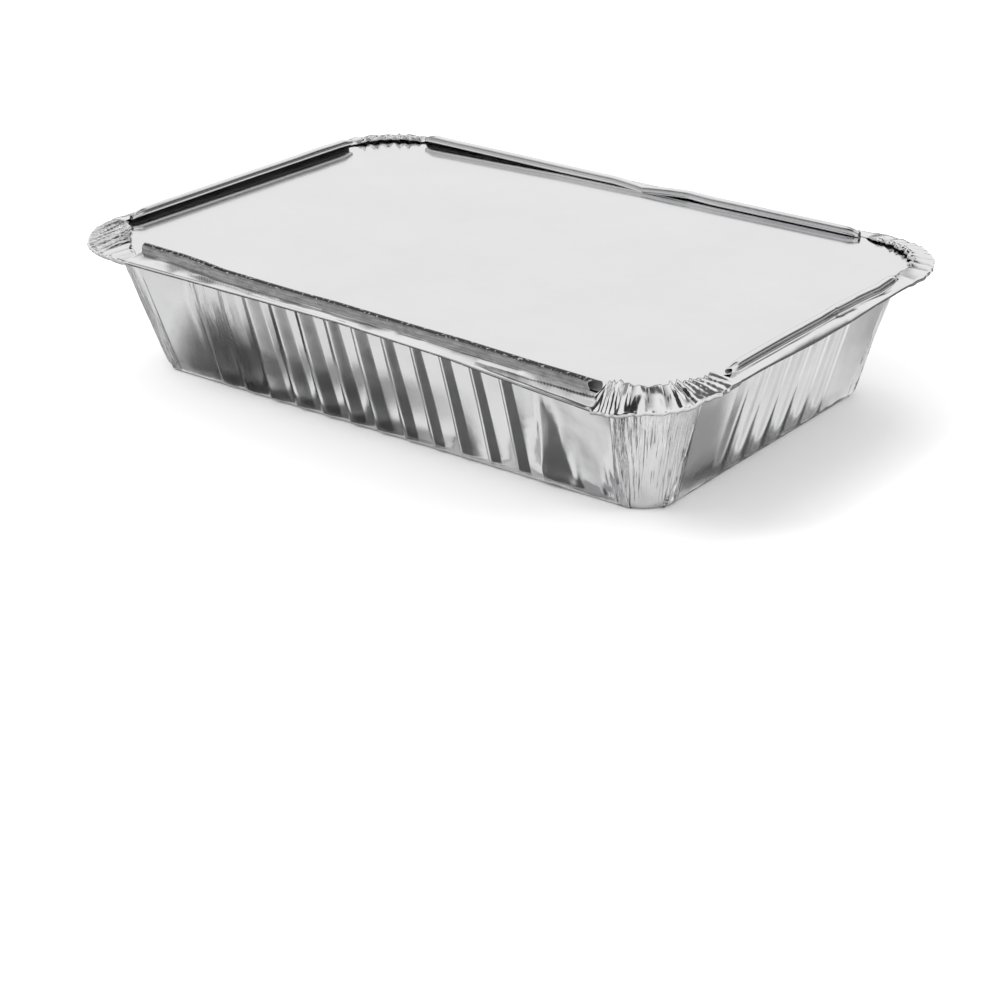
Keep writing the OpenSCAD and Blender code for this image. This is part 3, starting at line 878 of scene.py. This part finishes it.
def board_back():
    """Pale paper board on the lid's underside and edge."""
    material = bpy.data.materials.new("board_back")
    material.use_nodes = True
    tree = material.node_tree
    shader = tree.nodes["Principled BSDF"]
    shader.inputs["Roughness"].default_value = 0.85
    place = tree.nodes.new("ShaderNodeTexCoord").outputs["Object"]
    fibre = noise_node(tree, place, 700.0, 5.0, 0.6, (0.4, 1.0, 1.0))
    link(tree, shade_mix(tree, fibre, (0.62, 0.6, 0.56), (0.78, 0.77, 0.74)), shader.inputs["Base Color"])
    bump = tree.nodes.new("ShaderNodeBump")
    bump.inputs["Distance"].default_value = 0.05 * MM
    link(tree, fibre, bump.inputs["Height"])
    link(tree, bump.outputs["Normal"], shader.inputs["Normal"])
    return material


def make_tray(material):
    sheet = Sheet()
    piece = piece_from("foil_tray", *sheet.mesh_data(), [material], "tray")
    for name, values in sheet.mark_data().items():
        mark = piece.data.attributes.new(name, "FLOAT", "POINT")
        mark.data.foreach_set("value", values)
    drop_loose_points(piece)


def lid_faces(n, per_face):
    """The board's faces, and their materials: 0 for the foil face, 1 for the underside and the edge."""
    below = per_face * n
    inner = below - n
    faces = []
    for k in range(per_face - 1):
        for i in range(n):
            j = (i + 1) % n
            a, b, c, d = k * n + i, k * n + j, (k + 1) * n + j, (k + 1) * n + i
            faces += [((a, b, c, d), 0), ((a + below, d + below, c + below, b + below), 1)]
    for i in range(n):
        j = (i + 1) % n
        faces += [((inner + i, inner + j, 2 * below), 0),
                  ((inner + below + j, inner + below + i, 2 * below + 1), 1),
                  ((below + i, below + j, j, i), 1)]
    return zip(*faces)


def make_lid(face_material, back_material):
    """The board: rings from its edge inwards, top and underside, with a small bend where the rim droops."""
    p = Round()
    edge = FOLD_H / 2 + LID_EDGE_GAP
    low = TRAY_H + FOIL_T / 2 + LID_GAP
    insets = [edge, edge + 0.8, 4.2, DROP_INSET, 9.0, 13.0, 19.0, 25.5]
    rows = []
    for z in (low + LID_T, low):
        for inset in insets:
            xy = p.rim_ring(inset)
            waved = LID_WAVE * ripple(xy[:, 0] / 40, xy[:, 1] / 40, 61) * within(8, 12, 19, 25, inset)
            rows.append(np.column_stack([xy, z + waved - droop(p.distance, inset)]))
    points = np.vstack(rows + [[[0, 0, low + LID_T]], [[0, 0, low]]])
    faces, kinds = lid_faces(p.count, len(insets))
    piece = piece_from("lid_board", points, faces, [face_material, back_material], "lid")
    piece.data.polygons.foreach_set("material_index", kinds)


# Camera: the photograph's viewpoint, as a place and a turn about the object
VIEW_AZIMUTH, VIEW_ELEVATION, VIEW_ROLL = 36.78, 24.64, 0.18
VIEW_DISTANCE, VIEW_RIGHT, VIEW_UP = 680.93, -1.24, -71.56
VIEW_CENTRE_Z = 39.2
FOCAL_PIXELS, FRAME_PIXELS, SENSOR = 2391.5, 1000, 36.0


def make_camera():
    a, e, r = (math.radians(v) for v in (VIEW_AZIMUTH, VIEW_ELEVATION, VIEW_ROLL))
    back = Vector((math.sin(a) * math.cos(e), -math.cos(a) * math.cos(e), math.sin(e)))
    level = Vector((math.cos(a), math.sin(a), 0))
    upright = back.cross(level)
    place = back * VIEW_DISTANCE + level * VIEW_RIGHT + upright * VIEW_UP + Vector((0, 0, VIEW_CENTRE_Z))
    right = level * math.cos(r) + upright * math.sin(r)
    up = upright * math.cos(r) - level * math.sin(r)
    data = bpy.data.cameras.new("view")
    data.sensor_width = SENSOR
    data.lens = FOCAL_PIXELS * SENSOR / FRAME_PIXELS
    data.clip_end = 20
    camera = bpy.data.objects.new("view", data)
    bpy.context.scene.collection.objects.link(camera)
    turn = Matrix((right, up, back)).transposed().to_4x4()
    camera.matrix_world = Matrix.Translation(place * MM) @ turn
    bpy.context.scene.camera = camera


def make_floor():
    """A plain pale floor. Metal sees it half polished, as it would see a smooth table."""
    bpy.ops.mesh.primitive_plane_add(size=6)
    floor = bpy.context.object
    floor.name = "floor"
    material = bpy.data.materials.new("pale_floor")
    material.use_nodes = True
    tree = material.node_tree
    tree.nodes.clear()
    matte = tree.nodes.new("ShaderNodeBsdfDiffuse")
    matte.inputs["Color"].default_value = (0.92, 0.92, 0.92, 1)
    polish = tree.nodes.new("ShaderNodeBsdfGlossy")
    polish.inputs["Color"].default_value = (0.9, 0.9, 0.9, 1)
    polish.inputs["Roughness"].default_value = 0.06
    mix = tree.nodes.new("ShaderNodeMixShader")
    path = tree.nodes.new("ShaderNodeLightPath")
    link(tree, times(tree, path.outputs["Is Glossy Ray"], 0.92), mix.inputs[0])
    link(tree, matte.outputs[0], mix.inputs[1])
    link(tree, polish.outputs[0], mix.inputs[2])
    out = tree.nodes.new("ShaderNodeOutputMaterial")
    link(tree, mix.outputs[0], out.inputs["Surface"])
    floor.data.materials.append(material)


def make_world():
    world = bpy.data.worlds.new("studio")
    bpy.context.scene.world = world
    world.use_nodes = True
    world.node_tree.nodes["Background"].inputs["Color"].default_value = (1, 1, 1, 1)
    world.node_tree.nodes["Background"].inputs["Strength"].default_value = 0.95


# Dark cards that give the metal something to reflect, as parts of a sphere round the tray:
# azimuth from and to, elevation from and to, soft edge, all in degrees, and how solid the card is
CARDS = (
    ("front_high", -45, 14, 44, 82, 5, 1.0),
    ("left", -115, -79, 24, 46, 4, 0.7),
    ("front_low", -64, -6, 2, 37, 7, 0.35),
    ("right_low", 122, 168, 2, 29, 5, 0.9),
    ("right_mid", 112, 149, 34, 58, 6, 0.3),
    ("right_high", 76, 104, 46, 74, 6, 0.5),
    ("back_high", 146, 222, 54, 84, 7, 0.9),
    ("back_low", -172, -124, 1, 6, 3, 0.85),
)
CARD_DISTANCE = 1.4
DARK_SHADE, PALE_SHADE = 0.03, 0.85


def direction(azimuth, elevation):
    """Unit vector seen from the tray: azimuth 0 in front of the near long side, turning to the right."""
    a, e = math.radians(azimuth), math.radians(elevation)
    return Vector((math.sin(a) * math.cos(e), -math.cos(a) * math.cos(e), math.sin(e)))


def card_material(name, shade):
    material = bpy.data.materials.new(name)
    material.use_nodes = True
    tree = material.node_tree
    tree.nodes.clear()
    clear = tree.nodes.new("ShaderNodeBsdfTransparent")
    matte = tree.nodes.new("ShaderNodeBsdfDiffuse")
    matte.inputs["Color"].default_value = (shade, shade, shade, 1)
    cover = tree.nodes.new("ShaderNodeAttribute")
    cover.attribute_name = "cover"
    mix = tree.nodes.new("ShaderNodeMixShader")
    out = tree.nodes.new("ShaderNodeOutputMaterial")
    link(tree, cover.outputs["Fac"], mix.inputs[0])
    link(tree, clear.outputs[0], mix.inputs[1])
    link(tree, matte.outputs[0], mix.inputs[2])
    link(tree, mix.outputs[0], out.inputs["Surface"])
    return material


def add_card(name, points, columns, cover, material):
    """A card, as rows of points, that only the metal's reflections show."""
    n = columns
    faces = [(r * n + c, r * n + c + 1, (r + 1) * n + c + 1, (r + 1) * n + c)
             for r in range(len(points) // n - 1) for c in range(n - 1)]
    mesh = bpy.data.meshes.new(name)
    mesh.from_pydata([tuple(p) for p in points], [], faces)
    mesh.attributes.new("cover", "FLOAT", "POINT").data.foreach_set("value", cover)
    mesh.materials.append(material)
    card = bpy.data.objects.new(name, mesh)
    bpy.context.scene.collection.objects.link(card)
    card.visible_camera = False
    card.visible_shadow = False
    card.visible_diffuse = False


def soft_inside(low, high, soft, x):
    """1 well between low and high, 0 well outside, with a soft edge about each."""
    return min(step_up(low - soft, low + soft, x), 1 - step_up(high - soft, high + soft, x))


def make_cards(material):
    for name, left, right, low, high, soft, solid in CARDS:
        azimuths = np.linspace(left - soft, right + soft, 25)
        elevations = np.linspace(max(low - soft, 0.5), high + soft, 17)
        points, cover = [], []
        for e in elevations:
            for a in azimuths:
                points.append(direction(a, e) * CARD_DISTANCE)
                inside = soft_inside(left, right, soft, a) * soft_inside(low, high, soft, e)
                cover.append(float(solid * inside))
        add_card("card_" + name, points, len(azimuths), cover, material)


# Small cards flat on the floor beside the walls, dark but for a pale one at the near corner, as their four
# corners in millimetres, how solid the card is, and how soft its nearer edge is.
# Only reflections show them: the three foot cards are painted shade, standing in for the floor's contact
# shadow along the walls' feet, and the others put dark and pale patches into the walls' reflections.
FLOOR_CARDS = (
    ("left_patch", (-89, -55), (-30, -55), (-57, -83), (-97, -85), 0.66, 0.01),
    ("near_pale", (72, -53), (98, -30), (128, -62), (74, -92), 0.5, 0.01),
    ("right_patch", (89.5, -50), (89.5, -16), (115, 22), (115, -12), 0.4, 0.01),
    ("near_band", (-85, -62), (28, -62), (22, -75), (-91, -75), 0.38, 0.35),
    ("near_foot", (-80, -55.2), (30, -55.2), (30, -61), (-80, -61), 0.6, 0.01),
    ("right_foot", (88.6, -46), (88.6, 46), (93.5, 46), (93.5, -46), 0.42, 0.01),
    ("far_foot", (-80, 55.2), (80, 55.2), (80, 59), (-80, 59), 0.45, 0.01),
)
FLOOR_CARD_STEPS = 13


def make_floor_cards(dark, pale):
    for k, (name, a, b, c, d, solid, soft) in enumerate(FLOOR_CARDS):
        near_a, near_b, far_b, far_a = (np.array(p, float) for p in (a, b, c, d))
        points, cover = [], []
        for v in np.linspace(0, 1, FLOOR_CARD_STEPS):
            for u in np.linspace(0, 1, FLOOR_CARD_STEPS):
                p = (near_a * (1 - u) + near_b * u) * (1 - v) + (far_a * (1 - u) + far_b * u) * v
                points.append((p[0] * MM, p[1] * MM, (0.02 + 0.01 * k) * MM))
                edge = step_up(0, 0.3, min(u, 1 - u)) * step_up(-0.01, soft, v)
                cover.append(solid * float(edge * (1 - step_up(0.6, 1, v))))
        shade = pale if name == "near_pale" else dark
        add_card("floor_card_" + name, points, FLOOR_CARD_STEPS, cover, shade)


# Soft lamps, as [azimuth, elevation, distance, size, power]
LAMPS = (
    ("key", -40, 48, 1.1, 0.5, 6.0),
    ("fill", 110, 35, 1.3, 0.4, 2.5),
    ("back", 200, 55, 1.2, 0.6, 4.0),
)


def make_lamps():
    for name, azimuth, elevation, distance, size, power in LAMPS:
        away = direction(azimuth, elevation)
        data = bpy.data.lights.new(name, "AREA")
        data.size = size
        data.energy = power
        lamp = bpy.data.objects.new(name, data)
        lamp.location = away * distance
        lamp.visible_glossy = False
        lamp.rotation_mode = "QUATERNION"
        lamp.rotation_quaternion = away.to_track_quat("Z", "Y")
        bpy.context.scene.collection.objects.link(lamp)


make_camera()
make_world()
make_floor()
dark_card = card_material("dark_card", DARK_SHADE)
make_cards(dark_card)
make_floor_cards(dark_card, card_material("pale_card", PALE_SHADE))
make_lamps()
foil_group = rolled_foil_group()
make_tray(tray_foil(foil_group))
make_lid(lid_foil(foil_group), board_back())
bpy.context.scene.view_settings.view_transform = "Standard"
